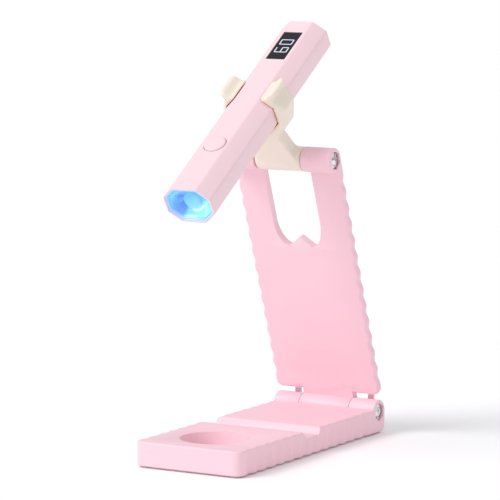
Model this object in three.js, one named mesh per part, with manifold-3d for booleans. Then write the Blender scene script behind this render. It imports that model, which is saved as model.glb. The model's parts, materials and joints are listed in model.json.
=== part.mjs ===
// UV LED nail lamp: an octagonal pen lamp held by a spring clip on a two-hinge folding stand.
// Millimetres, +Z up. X runs across the stand, -Y is the front, and the origin is the middle of the
// underside. The lamp hangs head down over the front of the base, as it does in use.
import * as THREE from "three";
import { ConvexGeometry } from "three/addons/geometries/ConvexGeometry.js";
import { mergeVertices } from "three/addons/utils/BufferGeometryUtils.js";
import Module from "manifold-3d";

const wasm = await Module();
wasm.setup();

// Driving dimensions of the stand
const base_width = 60;
const base_length = 152;
const base_top = 13.2;
const pad_thickness = 0.55;
const base_underside = 0.8;
const upright_width = 61;
const upright_thickness = 4.2;
const upright_lean = 21;
const barrel_radius = 6.4;
const hinge_height = 11.4;
const hinge_spacing = 144.9;
const tongue_half_width = 14.6;
const knuckle_gap = 0.35;
const scallop_pitch = 9;
const scallop_depth = 0.9;

// Driving dimensions of the lamp
const lamp_length = 139;
const lamp_half_width = 13.1;
const lamp_half_height = 10;
const lamp_front_half = 6.7;
const lamp_side_half = 4.4;
const lamp_wall = 1.5;
const lens_rim = 0.6;
const lens_span = { near: 0.3, far: 1.5 };
const lamp_tilt = 56.8;
const clip_offset = 36.9; // hinge axis to lamp axis
const clip_station = 86.1; // lamp head to the hinge, along the lamp

// Shared fits and fasteners
const gap = 0.3;
const bolt_radius = 2.5;
const bolt_bore = 2.62;
const nut_flats = 8;
const pocket_flats = 8.6;
const pocket_depth = 4.6;
const button_station = 36;
const button_radius = 5.6;
const display_station = 118;
const display_length = 23.3;
const display_width = 10.8;

const hinge_y = base_length / 2 - barrel_radius;
const lean = THREE.MathUtils.degToRad(upright_lean);
const tilt = THREE.MathUtils.degToRad(lamp_tilt);

const pink = { color: 0xf9c3d1, roughness: 0.42, metalness: 0 };
const pale_pink = { color: 0xfbdbe6, roughness: 0.35, metalness: 0 };
const cream = { color: 0xf0e4d2, roughness: 0.45, metalness: 0 };
const steel = { color: 0xc9ccd1, roughness: 0.22, metalness: 1 };
const dark_rubber = { color: 0x5a4a4e, roughness: 0.9, metalness: 0 };

// ---- solids: join, cut and turn back into three.js geometry ----

function solid(geometry) {
  const bare = geometry.clone();
  bare.deleteAttribute("normal");
  bare.deleteAttribute("uv");
  const merged = mergeVertices(bare, 1e-4);
  return new wasm.Manifold(
    new wasm.Mesh({
      numProp: 3,
      vertProperties: new Float32Array(merged.attributes.position.array),
      triVerts: new Uint32Array(merged.index.array),
    }),
  );
}

function joined(geometries) {
  return geometries.map(solid).reduce((whole, next) => whole.add(next));
}

function cut(body, geometries) {
  return geometries.map(solid).reduce((whole, next) => whole.subtract(next), body);
}

function geometryOf(body) {
  const mesh = body.getMesh();
  const geometry = new THREE.BufferGeometry();
  geometry.setAttribute("position", new THREE.BufferAttribute(mesh.vertProperties, 3));
  geometry.setIndex(new THREE.BufferAttribute(mesh.triVerts, 1));
  geometry.computeVertexNormals();
  return geometry;
}

function piece(name, shape, finish) {
  const geometry = shape.isBufferGeometry ? shape : geometryOf(shape);
  const mesh = new THREE.Mesh(geometry, new THREE.MeshStandardMaterial(finish));
  mesh.name = name;
  return mesh;
}

// ---- plain stock: boxes, rods and outlines ----

function block(x0, x1, y0, y1, z0, z1) {
  const box = new THREE.BoxGeometry(x1 - x0, y1 - y0, z1 - z0);
  return box.translate((x0 + x1) / 2, (y0 + y1) / 2, (z0 + z1) / 2);
}

function crossRod(radius, x0, x1, y = 0, z = 0, sides = 40) {
  const rod = new THREE.CylinderGeometry(radius, radius, x1 - x0, sides);
  return rod.rotateZ(Math.PI / 2).translate((x0 + x1) / 2, y, z);
}

function post(radius, z0, z1, x = 0, y = 0, sides = 32) {
  const rod = new THREE.CylinderGeometry(radius, radius, z1 - z0, sides);
  return rod.rotateX(Math.PI / 2).translate(x, y, (z0 + z1) / 2);
}

function hexRod(flats, x0, x1, y = 0, z = 0) {
  const rod = new THREE.CylinderGeometry(flats / Math.sqrt(3), flats / Math.sqrt(3), x1 - x0, 6);
  return rod.rotateZ(Math.PI / 2).translate((x0 + x1) / 2, y, z);
}

function slab(shape, depth) {
  return new THREE.ExtrudeGeometry(shape, { depth, bevelEnabled: false, curveSegments: 8 });
}

function outline(points) {
  return new THREE.Shape(points.map(([x, y]) => new THREE.Vector2(x, y)));
}

// An outline drawn as (y, z), run along X from -half to half.
function acrossX(shape, half) {
  const bar = slab(shape, 2 * half);
  const turn = new THREE.Matrix4().makeBasis(
    new THREE.Vector3(0, 1, 0),
    new THREE.Vector3(0, 0, 1),
    new THREE.Vector3(1, 0, 0),
  );
  return bar.applyMatrix4(turn).translate(-half, 0, 0);
}

function roundedBox(x0, x1, y0, y1, radius) {
  const shape = new THREE.Shape();
  shape.moveTo(x0 + radius, y0);
  shape.lineTo(x1 - radius, y0);
  shape.absarc(x1 - radius, y0 + radius, radius, -Math.PI / 2, 0);
  shape.lineTo(x1, y1 - radius);
  shape.absarc(x1 - radius, y1 - radius, radius, 0, Math.PI / 2);
  shape.lineTo(x0 + radius, y1);
  shape.absarc(x0 + radius, y1 - radius, radius, Math.PI / 2, Math.PI);
  shape.lineTo(x0, y0 + radius);
  shape.absarc(x0 + radius, y0 + radius, radius, Math.PI, (3 * Math.PI) / 2);
  return shape;
}

// Points along a finger-grip edge: whole waves from start to end, cut inwards from full width.
function scallops(half_width, start, end) {
  const waves = Math.round((end - start) / scallop_pitch);
  const steps = waves * 6;
  const points = [];
  for (let i = 0; i <= steps; i += 1) {
    const along = start + ((end - start) * i) / steps;
    const dip = (scallop_depth / 2) * (1 - Math.cos((2 * Math.PI * waves * i) / steps));
    points.push([half_width - dip, along]);
  }
  return points;
}

function arc(cx, cy, radius, from, to, steps) {
  const points = [];
  for (let i = 0; i <= steps; i += 1) {
    const angle = THREE.MathUtils.degToRad(from + ((to - from) * i) / steps);
    points.push([cx + radius * Math.cos(angle), cy + radius * Math.sin(angle)]);
  }
  return points;
}

// A right-hand edge given from bottom to top, closed with its own mirror image.
function mirrored(right_edge) {
  const left_edge = right_edge.map(([x, y]) => [-x, y]).reverse();
  return outline([...right_edge, ...left_edge]);
}

// ---- base: scalloped box with a cup well, a phone groove and two hinge knuckles ----

const front = -base_length / 2;
const rear = base_length / 2;
const side_wall = 2.4;
const top_wall = 2.2;
const plan_corner = 4.6;
const heel_radius = 3;
const nose_bevel = 0.8;
const last_scallop_y = 59;
const cavity_rear = 60;
const well = { y: -48.8, radius: 17.4, floor: 5.9, wall: 1.7 };
const groove = { front: -12.1, floor_front: -8, floor_rear: 3.4, rear: 5.4, floor: 9.7, wall: 2 };
const stop_lug = { x: 21.7, half_width: 1.7, near: 5.6, far: 7.2, foot: 6, top: 19.2 };
const cover = { top: 2.6, hole: 1.6, counterbore: 2.7, counterbore_depth: 0.9 };
const screw = { head_radius: 2.35, head_height: 0.6, radius: 1.2, top: 7.8, slot: 0.9, x: 23 };
const boss = { radius: 3, pilot: 1.35, pilot_top: 8.6 };
const ballast = { half_width: 19, front: 12, rear: 57, corner: 2, thickness: 6.6 };
const screw_places = [-69.5, 54].flatMap((y) => [
  [-screw.x, y],
  [screw.x, y],
]);

function baseSideProfile() {
  const knuckle_rise = Math.asin((base_top - hinge_height) / barrel_radius);
  const knuckle_start = 180 - THREE.MathUtils.radToDeg(knuckle_rise);
  return outline([
    [front, base_underside],
    ...arc(rear - heel_radius, base_underside + heel_radius, heel_radius, -90, 0, 4),
    ...arc(hinge_y, hinge_height, barrel_radius, 0, knuckle_start, 18),
    [groove.rear, base_top],
    [groove.floor_rear, groove.floor],
    [groove.floor_front, groove.floor],
    [groove.front, base_top],
    [front + nose_bevel, base_top],
    [front, base_top - nose_bevel],
  ]);
}

function basePlan() {
  const half = base_width / 2;
  return mirrored([
    ...arc(half - plan_corner, front + plan_corner, plan_corner, -90, 0, 6),
    ...scallops(half, front + plan_corner + 1.4, last_scallop_y),
    [half, rear],
  ]);
}

// The bolt's bore and the two hexagonal pockets, for a hinge whose knuckles end at +-spread.
function hingeBores(spread) {
  const reach = spread + 2;
  const floor_x = spread - pocket_depth;
  return [
    crossRod(bolt_bore, -reach, reach, 0, 0, 32),
    hexRod(pocket_flats, floor_x, reach),
    hexRod(pocket_flats, -reach, -floor_x),
  ];
}

// Two blocks standing behind the hinge, which stop the upright as it leans back.
function stopLug(side) {
  const x = side * stop_lug.x;
  return block(
    x - stop_lug.half_width,
    x + stop_lug.half_width,
    hinge_y + stop_lug.near,
    hinge_y + stop_lug.far,
    stop_lug.foot,
    stop_lug.top,
  );
}

function baseHollow() {
  const inner = base_width / 2 - side_wall;
  const roof = base_top - top_wall;
  const groove_roof = groove.floor - groove.wall;
  return joined([
    block(-inner, inner, groove.rear + 3.6, cavity_rear, 0, roof),
    block(-inner, inner, groove.front - 1, groove.rear + 4, 0, groove_roof),
    block(-inner, inner, front + side_wall, groove.front - 0.5, 0, roof),
  ]);
}

function baseShell() {
  const cheek = tongue_half_width + knuckle_gap;
  const shell = solid(acrossX(baseSideProfile(), base_width / 2 + 1))
    .intersect(solid(slab(basePlan(), base_top + barrel_radius)))
    .add(solid(stopLug(-1)))
    .add(solid(stopLug(1)));
  const kept = joined([
    post(well.radius + well.wall, well.floor - well.wall, base_top, 0, well.y, 48),
    ...screw_places.map(([x, y]) => post(boss.radius, cover.top + gap, base_top, x, y, 20)),
  ]);
  const bores = hingeBores(base_width / 2).map((g) => g.translate(0, hinge_y, hinge_height));
  return cut(shell.subtract(baseHollow().subtract(kept)), [
    post(well.radius, well.floor, base_top + 5, 0, well.y, 64),
    crossRod(barrel_radius + knuckle_gap, -cheek, cheek, hinge_y, hinge_height, 48),
    block(-cheek, cheek, hinge_y, rear + 5, hinge_height, hinge_height + 2 * barrel_radius),
    ...screw_places.map(([x, y]) => post(boss.pilot, 0, boss.pilot_top, x, y, 16)),
    ...bores,
  ]);
}

function bottomCover() {
  const inner = base_width / 2 - side_wall - gap;
  const plate = roundedBox(-inner, inner, front + side_wall + gap, cavity_rear - gap, 0.6);
  const sheet = slab(plate, cover.top - base_underside).translate(0, 0, base_underside);
  const counterbore_top = base_underside + cover.counterbore_depth;
  return cut(solid(sheet), [
    ...screw_places.map(([x, y]) => post(cover.hole, 0, cover.top + 1, x, y, 20)),
    ...screw_places.map(([x, y]) => post(cover.counterbore, 0, counterbore_top, x, y, 20)),
  ]);
}

function coverScrew([x, y]) {
  const seat = base_underside + 0.05;
  const head = post(screw.head_radius, seat, seat + screw.head_height, x, y, 20);
  const shank = post(screw.radius, seat + screw.head_height / 2, screw.top, x, y, 16);
  const recess = post(screw.slot, 0, seat + screw.head_height / 2, x, y, 6);
  return cut(joined([head, shank]), [recess]);
}

function ballastPlate() {
  const { half_width, corner, thickness } = ballast;
  const plate = roundedBox(-half_width, half_width, ballast.front, ballast.rear, corner);
  return slab(plate, thickness).translate(0, 0, cover.top + gap + 0.1);
}

function nonSlipPad() {
  const half = base_width / 2 - 2;
  return slab(roundedBox(-half, half, front + 2, rear - 5, 3), pad_thickness);
}

// ---- hinge hardware, made on the X axis and moved to each hinge ----

const washer = { radius: 4, near: 0.2, far: 0.95 };
const bolt = { head_near: 1.2, head_far: 3.6, end: 4.2, key_flats: 4, key_floor: 2.3 };
const nut = { near: 1.2, far: 3.7 };

function hingeBolt(spread) {
  const floor_x = spread - pocket_depth;
  const head = hexRod(nut_flats, -floor_x - bolt.head_far, -floor_x - bolt.head_near);
  const shank = crossRod(bolt_radius, -floor_x - bolt.key_floor, floor_x + bolt.end, 0, 0, 32);
  const key = hexRod(bolt.key_flats, -floor_x - bolt.head_far - 1, -floor_x - bolt.key_floor);
  return cut(joined([head, shank]), [key]);
}

function hingeNut(spread) {
  const floor_x = spread - pocket_depth;
  const body = hexRod(nut_flats, floor_x + nut.near, floor_x + nut.far);
  return cut(solid(body), [crossRod(bolt_bore, 0, spread, 0, 0, 32)]);
}

function hingeWasher(spread, side) {
  const floor_x = spread - pocket_depth;
  const disc = crossRod(washer.radius, floor_x + washer.near, floor_x + washer.far, 0, 0, 28);
  const ring = cut(solid(disc), [crossRod(bolt_bore, 0, spread, 0, 0, 32)]);
  return side < 0 ? ring.mirror([1, 0, 0]) : ring;
}

function hingeHardware(prefix, spread) {
  const group = new THREE.Group();
  group.add(
    piece(prefix + "_hinge_bolt", hingeBolt(spread), steel),
    piece(prefix + "_hinge_nut", hingeNut(spread), steel),
    piece(prefix + "_hinge_washer_left", hingeWasher(spread, -1), steel),
    piece(prefix + "_hinge_washer_right", hingeWasher(spread, 1), steel),
  );
  return group;
}

// ---- upright: one moulded plate with a tongue below, and two ears above a cut-out ----

const upright_front = 2;
const upright_back = upright_front + upright_thickness;
const upright_foot = 8.7;
const upright_corner = 3.5;
const window_half = 13.7;
const window_peak = 98.3;

function uprightFace() {
  const half = upright_width / 2;
  const corner = upright_corner;
  const face = mirrored([
    ...arc(half - corner, upright_foot + corner, corner, -90, 0, 4),
    ...scallops(half, upright_foot + corner + 2, hinge_spacing - 10),
    [half, hinge_spacing],
  ]);
  face.holes.push(uprightWindow());
  return face;
}

// The cut-out between the legs: rounded lower corners, and a low peak in the middle of its foot.
function uprightWindow() {
  const right = [
    [0.6, window_peak],
    [6.9, 93.2],
    [8.9, 94.6],
    [10.7, 96.7],
    [12.2, 99.8],
    [13.2, 103.4],
    [window_half, 107.5],
    [window_half, hinge_spacing - 0.5],
  ];
  const left = right.map(([x, y]) => [-x, y]).reverse();
  return new THREE.Path([...right, ...left].map(([x, y]) => new THREE.Vector2(x, y)));
}

function uprightBody() {
  const half = upright_width / 2;
  const stand_up = (g) => g.rotateX(Math.PI / 2).translate(0, upright_back, 0);
  const ear = window_half - 0.1;
  const tongue = tongue_half_width;
  const plate = solid(stand_up(slab(uprightFace(), upright_thickness)));
  const neck = solid(block(-tongue, tongue, upright_front, upright_back, 0, upright_foot + 4));
  const reach = 2 * barrel_radius;
  const between_ears = block(
    -window_half,
    window_half,
    -reach,
    reach,
    hinge_spacing - reach,
    hinge_spacing + reach,
  );
  const body = plate
    .subtract(solid(between_ears))
    .add(neck)
    .add(solid(crossRod(barrel_radius, -tongue, tongue)))
    .add(solid(crossRod(barrel_radius, ear, half, 0, hinge_spacing)))
    .add(solid(crossRod(barrel_radius, -half, -ear, 0, hinge_spacing)));
  return cut(body, [
    crossRod(bolt_bore, -half, half, 0, 0, 32),
    ...hingeBores(half).map((g) => g.translate(0, 0, hinge_spacing)),
  ]);
}

// ---- the lamp's frame: +Y points out of the front face, and the head is at z = 0 with the body
// ---- running down to z = -lamp_length; "station" below is the distance from the head ----

// The lamp's octagon, drawn inwards from its outer faces by an even distance.
function octagon(inset) {
  const rise = lamp_half_height - lamp_side_half;
  const run = lamp_half_width - lamp_front_half;
  const reach = rise * lamp_half_width + run * lamp_side_half - inset * Math.hypot(rise, run);
  const top = lamp_half_height - inset;
  const side = lamp_half_width - inset;
  const front_half = (reach - run * top) / rise;
  const side_half = (reach - rise * side) / run;
  return [
    [front_half, -top],
    [side, -side_half],
    [side, side_half],
    [front_half, top],
    [-front_half, top],
    [-side, side_half],
    [-side, -side_half],
    [-front_half, -top],
  ];
}

function alongLamp(points, from_station, to_station) {
  return slab(outline(points), to_station - from_station).translate(0, 0, -to_station);
}

function stationBlock(half_width, y0, y1, from_station, to_station) {
  return block(-half_width, half_width, y0, y1, -to_station, -from_station);
}

// A solid stretched between outlines that lie across the lamp at given stations.
function loft(sections) {
  const points = sections.flatMap(({ station, points: ring }) =>
    ring.map(([x, y]) => new THREE.Vector3(x, y, -station)),
  );
  return new ConvexGeometry(points);
}

// ---- lamp clip: hinge barrel, flared stem and an open octagonal cradle with finger lips ----

const cradle_head = 72.5;
const cradle_tail = 88.3;
const cradle_bevel = 3.4;
const mouth_half = 7.3;
const clip_clearance = 0.35;
const clip_barrel_half = window_half - 0.5;

function bothSides(points) {
  return [...points, ...points.map(([x, y]) => [-x, y])];
}

function cradle() {
  const full = bothSides([
    [9, -15.4],
    [14.6, -10.1],
    [18.2, 1.8],
    [13.4, 8.4],
    [10.6, 10.4],
  ]);
  const head_end = bothSides([
    [8.2, -13],
    [12.6, -8.6],
    [15, 1.6],
    [12.6, 8],
    [10.6, 10],
  ]);
  const tail_end = head_end.map(([x, y]) => [x * 1.08, y * 1.05]);
  return loft([
    { station: cradle_head, points: head_end },
    { station: cradle_head + cradle_bevel, points: full },
    { station: cradle_tail - cradle_bevel / 2, points: full },
    { station: cradle_tail, points: tail_end },
  ]);
}

function fingerLip(side) {
  const right = [
    [mouth_half, 10.2],
    [8.6, 7.4],
    [12.6, 7.4],
    [13.5, 8.7],
    [16.1, 11.3],
    [16.1, 12.3],
    [15.2, 13.1],
    [13.2, 13.3],
    [9.7, 10.25],
  ];
  const points = side > 0 ? right : right.map(([x, y]) => [-x, y]).reverse();
  return alongLamp(points, cradle_head, cradle_tail);
}

// The stem spreads from the back of the cradle to the hinge barrel.
function clipStem() {
  const corners = [
    [9, -14.2, cradle_head + 2.1],
    [7.2, -14.2, cradle_tail - 3.9],
    [12, -clip_offset + 1.7, clip_station - 6],
    [12, -clip_offset - 1.5, clip_station - 4.1],
    [8.2, -clip_offset + 6, clip_station + 1.9],
    [8.2, -clip_offset + 2.9, clip_station + 4.9],
  ];
  const right = corners.map(([x, y, station]) => new THREE.Vector3(x, y, -station));
  const left = right.map(({ x, y, z }) => new THREE.Vector3(-x, y, z));
  return new ConvexGeometry([...right, ...left]);
}

function lampClip() {
  const half = clip_barrel_half;
  const past_head = cradle_head - 5;
  const past_tail = cradle_tail + 5;
  const body = joined([
    cradle(),
    fingerLip(1),
    fingerLip(-1),
    clipStem(),
    crossRod(barrel_radius, -half, half, -clip_offset, -clip_station),
  ]);
  return cut(body, [
    alongLamp(octagon(-clip_clearance), past_head, past_tail),
    stationBlock(mouth_half, lamp_side_half, 2 * lamp_half_height, past_head, past_tail),
    crossRod(bolt_bore, -2 * half, 2 * half, -clip_offset, -clip_station, 32),
  ]);
}

// ---- lamp case: octagonal tube, button, display and tail cap ----

const board_top = 6.8;
const plunger_top = 8.6;
const button_travel = 0.6;
const button_ceiling = plunger_top + button_travel + 0.05;
const button_inner_radius = 4.4;
const button_skirt = 7.7;
const window_depth = { back: 9.1, front: 9.92 };
const tail_cap = { start: 131.5, end: lamp_length - 0.5, hollow_end: 136.6, hollow_half: 8.5 };

function lampShell() {
  const tube = solid(alongLamp(octagon(0), 0, lamp_length));
  const radius = button_radius + gap;
  const button_opening = new THREE.CylinderGeometry(radius, radius, 8, 40);
  const display_start = display_station - display_length / 2;
  const display_end = display_station + display_length / 2;
  return cut(tube, [
    alongLamp(octagon(lamp_wall), -1, lamp_length + 1),
    alongLamp(octagon(lens_rim), -1, lens_span.far + gap),
    button_opening.translate(0, lamp_half_height, -button_station),
    stationBlock(display_width / 2, 5, 12, display_start, display_end),
  ]);
}

function buttonCap() {
  const inner = button_inner_radius;
  const profile = [
    [0, button_ceiling],
    [inner, button_ceiling],
    [inner, button_skirt],
    [button_radius, button_skirt],
    [button_radius, lamp_half_height + 0.45],
    [button_radius - 0.35, lamp_half_height + 0.75],
    [3.4, lamp_half_height + 0.95],
    [0, lamp_half_height + 1],
  ];
  const cap = new THREE.LatheGeometry(profile.map(([r, y]) => new THREE.Vector2(r, y)), 40);
  const tabs = block(-2.6, 2.6, button_skirt, button_skirt + 0.5, -7.4, 7.4);
  const relief = new THREE.CylinderGeometry(inner, inner, 6, 40);
  relief.translate(0, button_ceiling - 3, 0);
  return cut(joined([cap, tabs]), [relief]).translate([0, 0, -button_station]);
}

function displayWindow() {
  const half_length = display_length / 2 - gap;
  const half_width = display_width / 2 - gap;
  const { back, front: face } = window_depth;
  const start = display_station - half_length;
  return stationBlock(half_width, back, face, start, display_station + half_length);
}

function tailCap() {
  const { start, end, hollow_end, hollow_half } = tail_cap;
  const plug = solid(alongLamp(octagon(lamp_wall + gap), start, end));
  return cut(plug, [
    stationBlock(hollow_half, -6, 6, start - 1, hollow_end),
    slab(portShape(gap), 20).translate(0, 0, -lamp_length - 2),
  ]);
}

// ---- lamp optics: lens, faceted reflector, domed emitter, its board and a finned heat sink ----

const reflector_span = { near: 2.1, far: 10.6 };
const reflector_throat = 5.7;
const led = { radius: 4.7, rim: 3.7, crown: 1.6, base: 10.6 };
const led_board_span = { near: 10.9, far: 12.3 };
const sink = { front: 12.6, tail: 22.3, fin_radius: 7.9, core_radius: 5.4, fins: 4, pitch: 2.4 };

function lens() {
  return alongLamp(octagon(lens_rim + gap), lens_span.near, lens_span.far);
}

function regularOctagon(radius) {
  const points = [];
  for (let i = 0; i < 8; i += 1) {
    const angle = ((i + 0.5) * Math.PI) / 4;
    points.push([radius * Math.cos(angle), radius * Math.sin(angle)]);
  }
  return points;
}

function reflector() {
  const { near, far } = reflector_span;
  const cup = loft([
    { station: near - 0.2, points: octagon(lamp_wall + 1) },
    { station: far + 0.2, points: regularOctagon(reflector_throat) },
  ]);
  return cut(solid(alongLamp(octagon(lamp_wall + gap), near, far)), [cup]);
}

// A turned piece on the lamp's axis: the profile gives radius against station.
function turnedOnAxis(profile, sides) {
  const points = profile.map(([radius, station]) => new THREE.Vector2(radius, -station));
  return new THREE.LatheGeometry(points, sides).rotateX(Math.PI / 2);
}

function ledEmitter() {
  const dome = arc(0, 0, 1, 0, 90, 8)
    .slice(0, -1)
    .map(([out, rise]) => [led.radius * out, led.rim - led.crown * rise]);
  const foot = [led.radius, led.base];
  return turnedOnAxis([[0, led.base], foot, ...dome, [0, led.rim - led.crown]], 32);
}

function ledBoard() {
  return alongLamp(octagon(lamp_wall + 0.7), led_board_span.near, led_board_span.far);
}

function heatSink() {
  const { fin_radius, core_radius, pitch } = sink;
  const fins = [];
  for (let i = 0; i < sink.fins; i += 1) {
    const station = sink.tail - i * pitch;
    fins.push([fin_radius, station], [fin_radius, station - pitch / 2]);
    fins.push([core_radius, station - pitch / 2], [core_radius, station - pitch]);
  }
  const core_end = [core_radius, sink.front];
  return turnedOnAxis([[0, sink.tail], ...fins.slice(0, -1), core_end, [0, sink.front]], 32);
}

// ---- lamp electrics: boards, switch, display module, cell and its tray, charging socket ----

const board = { half_width: 7.6, thickness: 0.8, head: 23, tail: 129.5 };
const switch_half = 2.2;
const switch_top = 8.2;
const digit_module = { half_width: 4.6, half_length: 10.4, top: 8.8 };
const cell = { half_width: 8.2, back: -3.8, face: 3.2, corner: 2.6, head: 48, tail: 98 };
const tray = { half_width: 9.2, back: -5, rim: 0, wall: 0.7, floor: 0.9, head: 45, tail: 101 };
const port = { width: 8.94, height: 3.26, wall: 0.3, depth: 6.4, mouth: 138.4, back: 131.2 };
const charge = { half_width: 6.5, back: -2.9, face: -2.1, head: 114, tail: 135.6 };

function mainBoard() {
  const { half_width, thickness, head, tail } = board;
  return stationBlock(half_width, board_top - thickness, board_top, head, tail);
}

function buttonSwitch() {
  const head = button_station - switch_half;
  const tail = button_station + switch_half;
  const body = stationBlock(switch_half, board_top + gap, switch_top, head, tail);
  const plunger = new THREE.CylinderGeometry(1.1, 1.1, 2 * (plunger_top - switch_top), 20);
  return joined([body, plunger.translate(0, switch_top, -button_station)]);
}

function displayModule() {
  const { half_width, half_length, top } = digit_module;
  const head = display_station - half_length;
  return stationBlock(half_width, board_top + gap, top, head, display_station + half_length);
}

function batteryCell() {
  const across = roundedBox(-cell.half_width, cell.half_width, cell.back, cell.face, cell.corner);
  return slab(across, cell.tail - cell.head).translate(0, 0, -cell.tail);
}

function cellTray() {
  const { half_width, back, rim, head, tail } = tray;
  const inner = half_width - tray.wall;
  const hollow = stationBlock(inner, back + tray.floor, rim + 2, head + 2, tail - 2);
  return cut(solid(stationBlock(half_width, back, rim, head, tail)), [hollow]);
}

function portShape(extra) {
  const half_width = port.width / 2 + extra;
  const half_height = port.height / 2 + extra;
  return roundedBox(-half_width, half_width, -half_height, half_height, half_height - 0.02);
}

function usbSocket() {
  const can = slab(portShape(0), port.mouth - port.back).translate(0, 0, -port.mouth);
  const mouth = slab(portShape(-port.wall), port.depth + 1);
  mouth.translate(0, 0, -port.mouth - 1);
  const tongue = stationBlock(3.3, -0.35, 0.35, port.back + 0.4, port.mouth - 0.8);
  return solid(can).subtract(solid(mouth)).add(solid(tongue));
}

function chargeBoard() {
  const { half_width, back, face, head, tail } = charge;
  return stationBlock(half_width, back, face, head, tail);
}

// ---- assembly ----

const stand = new THREE.Group();
stand.add(
  piece("base_shell", baseShell(), pink),
  piece("base_bottom_cover", bottomCover(), pink),
  piece("ballast_plate", ballastPlate(), steel),
  piece("non_slip_pad", nonSlipPad(), dark_rubber),
);
screw_places.forEach((place, i) => {
  stand.add(piece("cover_screw_" + (i + 1), coverScrew(place), steel));
});
const lower_hinge = hingeHardware("lower", base_width / 2);
lower_hinge.position.set(0, hinge_y, hinge_height);
stand.add(lower_hinge);

const upright = new THREE.Group();
upright.position.set(0, hinge_y, hinge_height);
upright.rotation.x = lean;
upright.add(piece("upright", uprightBody(), pink));
const upper_hinge = hingeHardware("upper", upright_width / 2);
upper_hinge.position.set(0, 0, hinge_spacing);
upright.add(upper_hinge);

const lamp = new THREE.Group();
lamp.position.set(0, clip_offset, clip_station);
lamp.add(
  piece("lamp_clip", lampClip(), cream),
  piece("lamp_shell", lampShell(), pale_pink),
  piece("lens", lens(), { color: 0xbfe9ff, roughness: 0.05, transparent: true, opacity: 0.35 }),
  piece("reflector", reflector(), { color: 0x8fc8ee, roughness: 0.12, metalness: 0.9 }),
  piece("led_emitter", ledEmitter(), { color: 0x7fc4ff, roughness: 0.08, metalness: 0 }),
  piece("led_board", ledBoard(), { color: 0xe8ecef, roughness: 0.5, metalness: 0.2 }),
  piece("heat_sink", heatSink(), { color: 0xb9bcc0, roughness: 0.4, metalness: 0.9 }),
  piece("main_board", mainBoard(), { color: 0x1f6b45, roughness: 0.5, metalness: 0 }),
  piece("button_switch", buttonSwitch(), { color: 0x26282b, roughness: 0.5, metalness: 0 }),
  piece("button_cap", buttonCap(), pale_pink),
  piece("display_window", displayWindow(), { color: 0x0b0b0e, roughness: 0.08, metalness: 0 }),
  piece("display_module", displayModule(), { color: 0x2b2d31, roughness: 0.4, metalness: 0 }),
  piece("battery_cell", batteryCell(), { color: 0xaab2bd, roughness: 0.35, metalness: 0.4 }),
  piece("cell_tray", cellTray(), { color: 0xeeeeea, roughness: 0.6, metalness: 0 }),
  piece("charge_board", chargeBoard(), { color: 0x1f6b45, roughness: 0.5, metalness: 0 }),
  piece("usb_c_socket", usbSocket(), steel),
  piece("tail_cap", tailCap(), pale_pink),
);
const clip_pivot = new THREE.Group();
clip_pivot.position.set(
  0,
  hinge_y - hinge_spacing * Math.sin(lean),
  hinge_height + hinge_spacing * Math.cos(lean),
);
clip_pivot.rotation.x = Math.PI - tilt;
clip_pivot.add(lamp);

const nail_lamp = new THREE.Group();
nail_lamp.add(stand, upright, clip_pivot);

export default nail_lamp;
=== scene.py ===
"""A pen-shaped UV nail lamp in its clip on a folding pink stand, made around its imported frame.

The object is put together in order: base, folding upright, hinge bolts, clip, lamp case, button, display,
optics, tail, then what the cases hide. Stock is cut in millimetres and finished pieces are in metres, +Z up.
"""

import json
import math

import bmesh
import bpy
from mathutils import Matrix, Vector


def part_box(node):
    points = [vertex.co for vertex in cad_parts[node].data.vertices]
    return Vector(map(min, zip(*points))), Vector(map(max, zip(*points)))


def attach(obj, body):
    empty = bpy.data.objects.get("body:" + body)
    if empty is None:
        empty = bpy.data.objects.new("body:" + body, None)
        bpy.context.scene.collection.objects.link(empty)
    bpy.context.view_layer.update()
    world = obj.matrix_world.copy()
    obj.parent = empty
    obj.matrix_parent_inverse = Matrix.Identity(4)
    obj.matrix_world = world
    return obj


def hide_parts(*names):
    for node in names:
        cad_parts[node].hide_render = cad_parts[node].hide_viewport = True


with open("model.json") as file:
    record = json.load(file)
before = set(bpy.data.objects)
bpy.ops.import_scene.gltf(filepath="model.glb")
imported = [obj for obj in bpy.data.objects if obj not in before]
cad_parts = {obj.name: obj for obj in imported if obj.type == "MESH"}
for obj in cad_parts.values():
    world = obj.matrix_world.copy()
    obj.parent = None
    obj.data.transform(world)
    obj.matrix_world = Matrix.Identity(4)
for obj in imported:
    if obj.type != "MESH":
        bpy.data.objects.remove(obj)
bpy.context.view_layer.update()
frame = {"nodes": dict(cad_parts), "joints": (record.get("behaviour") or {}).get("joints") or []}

# ---- Camera: a long lens from the front right, a little above the stand ----

camera_yaw = math.radians(29.69)
camera_pitch = math.radians(6.88)
camera_roll = math.radians(0.34)
camera_target = Vector((0, -0.0114, 0.0651))
camera_distance = 1.5734
camera_aside = -0.0015
camera_raised = 0.0373
camera_lens = 226.2

turn = (
    Matrix.Rotation(camera_yaw, 3, "Z")
    @ Matrix.Rotation(math.pi / 2 - camera_pitch, 3, "X")
    @ Matrix.Rotation(camera_roll, 3, "Z")
)
camera = bpy.data.objects.new("camera", bpy.data.cameras.new("camera"))
bpy.context.scene.collection.objects.link(camera)
offset = turn @ Vector((camera_aside, camera_raised, camera_distance))
camera.matrix_world = Matrix.Translation(camera_target + offset) @ turn.to_4x4()
camera.data.lens = camera_lens
camera.data.sensor_width = 36
camera.data.clip_end = 60
bpy.context.scene.camera = camera

# ---- Studio: a wide pale floor under an even white sky, and one large soft light from the left ----


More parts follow.
